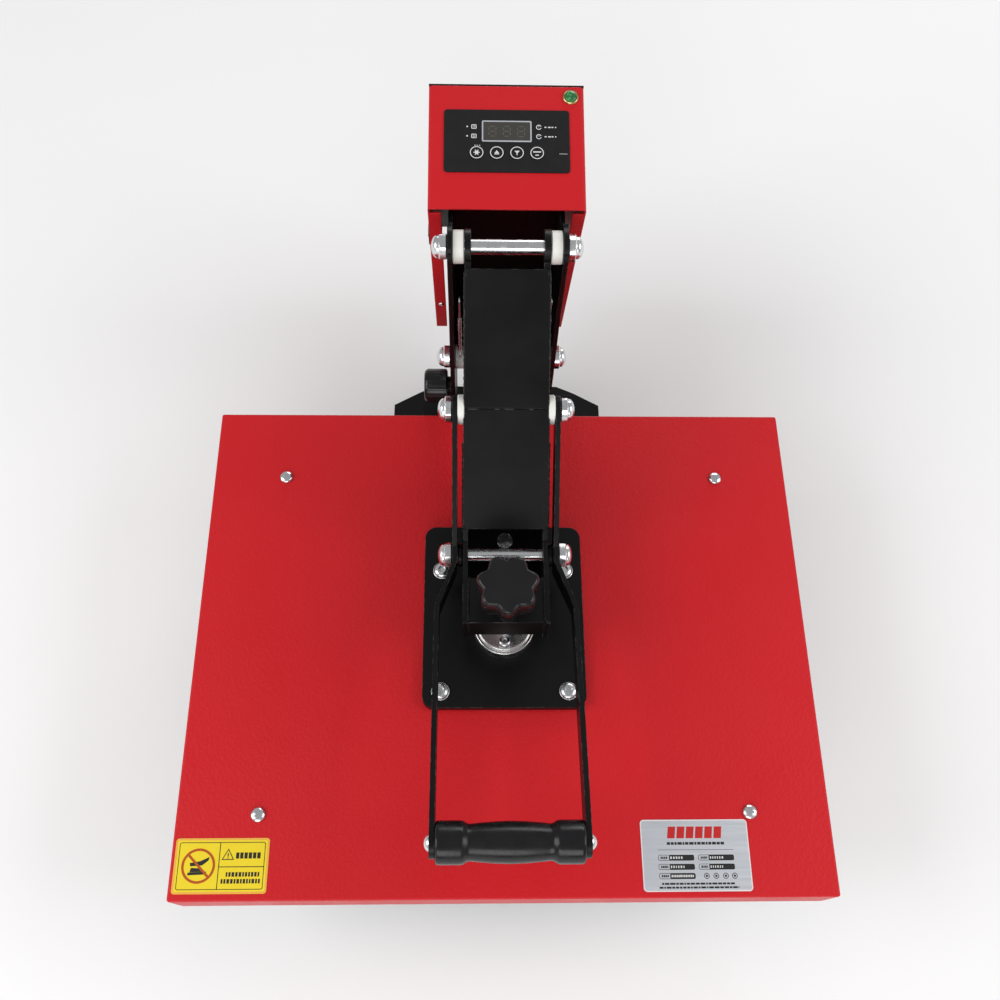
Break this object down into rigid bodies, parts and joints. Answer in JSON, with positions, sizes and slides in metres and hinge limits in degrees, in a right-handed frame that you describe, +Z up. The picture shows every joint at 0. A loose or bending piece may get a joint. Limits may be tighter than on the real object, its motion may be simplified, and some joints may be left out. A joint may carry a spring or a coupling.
{
  "type": "heat press",
  "caption": "Clamshell heat press: hinged red upper platen on an over-centre handle linkage, pressure knob, rear control box, flat lower platen.",
  "frame": {"origin": "middle of the press's box, on the surface it stands on", "axes": "+Z up, +Y from the operator to the control box, +X to the operator's right"},
  "size_m": [0.52, 0.6554, 0.3954],
  "materials": {
    "red_powder_coat": "fine leather-textured powder coat",
    "black_powder_coat": "satin black powder coat",
    "zinc_plate": "bright zinc plating",
    "turned_steel": "turned, polished",
    "bare_aluminium": "milled",
    "silicone": "matte silicone sponge",
    "foot_rubber": "matte rubber",
    "insulation": "felted ceramic fibre",
    "nylon": "natural nylon",
    "black_plastic": "moulded phenolic",
    "overlay_film": "textured polyester film",
    "display": "smoked window",
    "circuit": "solder mask",
    "green_lens": "clear green lens",
    "label_yellow": "printed vinyl",
    "label_silver": "printed foil"
  },
  "bodies": {
    "frame": {"balance_springs": "zinc_plate", "base_front_plate": "black_powder_coat", "base_rails": "black_powder_coat", "base_rear_plate": "black_powder_coat", "box_back_cover": "black_powder_coat", "box_screws": "zinc_plate", "box_shell": "red_powder_coat", "cheek_brace": "black_powder_coat", "controller_board": "circuit", "display_window": "display", "foot_pads": "foot_rubber", "frame_cap_nuts": "zinc_plate", "frame_washers": "nylon", "left_cheek": "black_powder_coat", "lower_pivot_shaft": "zinc_plate", "lower_platen": "bare_aluminium", "panel_overlay": "overlay_film", "pilot_lamp": "green_lens", "platen_pillars": "black_powder_coat", "power_inlet": "black_plastic", "right_cheek": "black_powder_coat", "silicone_pad": "silicone", "switch_bezel": "black_plastic", "top_pivot_shaft": "zinc_plate"},
    "arm": {"arm_left_plate": "black_powder_coat", "arm_right_plate": "black_powder_coat", "arm_top_plate": "black_powder_coat", "arm_cross_plates": "black_powder_coat", "nut_bracket": "black_powder_coat", "pressure_nut": "zinc_plate", "stop_screw": "zinc_plate", "front_pivot_shaft": "zinc_plate", "front_cap_nuts": "zinc_plate"},
    "link": {"link_left_bar": "black_powder_coat", "link_right_bar": "black_powder_coat", "link_top_plate": "black_powder_coat", "toggle_washers": "nylon"},
    "handle": {"handle_left_bar": "black_powder_coat", "handle_right_bar": "black_powder_coat", "handle_grip": "black_plastic", "grip_bolt": "zinc_plate", "toggle_cap_bolts": "zinc_plate"},
    "upper_platen": {"heat_platen": "bare_aluminium", "insulation_blanket": "insulation", "platen_cover": "red_powder_coat", "mounting_plate": "black_powder_coat", "plate_bolts": "zinc_plate", "thrust_flange": "turned_steel", "flange_screws": "zinc_plate", "cover_screws": "zinc_plate", "caution_label": "label_yellow", "rating_label": "label_silver"},
    "pressure_drive": {"pressure_knob": "black_plastic", "pressure_screw": "zinc_plate"},
    "lock_knob": {"lock_knob": "black_plastic"},
    "power_rocker": {"power_rocker": "black_plastic"},
    "key_1": {"panel_key_1": "overlay_film"},
    "key_2": {"panel_key_2": "overlay_film"},
    "key_3": {"panel_key_3": "overlay_film"},
    "key_4": {"panel_key_4": "overlay_film"}
  },
  "joints": [
    {"name": "arm_lift", "type": "hinge", "parent": "frame", "child": "arm", "pos_m": [0, 0.13931, 0.202], "axis": [-1, 0, 0], "range_deg": [0, 30], "deforming": ["balance_springs"]},
    {"name": "link_swing", "type": "hinge", "parent": "frame", "child": "link", "pos_m": [0, 0.13531, 0.366], "axis": [1, 0, 0], "range_deg": [0, 24.44]},
    {"name": "handle_swing", "type": "hinge", "parent": "arm", "child": "handle", "pos_m": [0, -0.0667, 0.225], "axis": [-1, 0, 0], "range_deg": [0, 39.63]},
    {"name": "knob_turn", "type": "hinge", "parent": "upper_platen", "child": "pressure_drive", "pos_m": [0, -0.1147, 0.265], "axis": [0, 0, 1], "range_deg": [0, 1080.5]},
    {"name": "pressure_travel", "type": "slide", "parent": "arm", "child": "upper_platen", "axis": [0, 0, 1], "range_m": [0, 0.006]},
    {"name": "lock_knob_turn", "type": "hinge", "parent": "frame", "child": "lock_knob", "pos_m": [-0.058, 0.12731, 0.17], "axis": [1, 0, 0], "continuous": true},
    {"name": "power_switch", "type": "hinge", "parent": "frame", "child": "power_rocker", "pos_m": [-0.0596, 0.19581, 0.31061], "axis": [0, 0.9781, 0.2079], "range_deg": [0, 12]},
    {"name": "key_1_press", "type": "slide", "parent": "frame", "child": "key_1", "axis": [0, 0.2079, -0.9781], "range_m": [0, 0.0005], "stiffness_N_per_m": 400, "springref_m": -0.0001},
    {"name": "key_2_press", "type": "slide", "parent": "frame", "child": "key_2", "axis": [0, 0.2079, -0.9781], "range_m": [0, 0.0005], "stiffness_N_per_m": 400, "springref_m": -0.0001},
    {"name": "key_3_press", "type": "slide", "parent": "frame", "child": "key_3", "axis": [0, 0.2079, -0.9781], "range_m": [0, 0.0005], "stiffness_N_per_m": 400, "springref_m": -0.0001},
    {"name": "key_4_press", "type": "slide", "parent": "frame", "child": "key_4", "axis": [0, 0.2079, -0.9781], "range_m": [0, 0.0005], "stiffness_N_per_m": 400, "springref_m": -0.0001}
  ],
  "couplings": [
    {"joint": "link_swing", "follows": "arm_lift", "ratio": 0.81447},
    {"joint": "handle_swing", "follows": "arm_lift", "ratio": 1.3208},
    {"joint": "knob_turn", "follows": "pressure_travel", "rad_per_m": 3141.6}
  ]
}
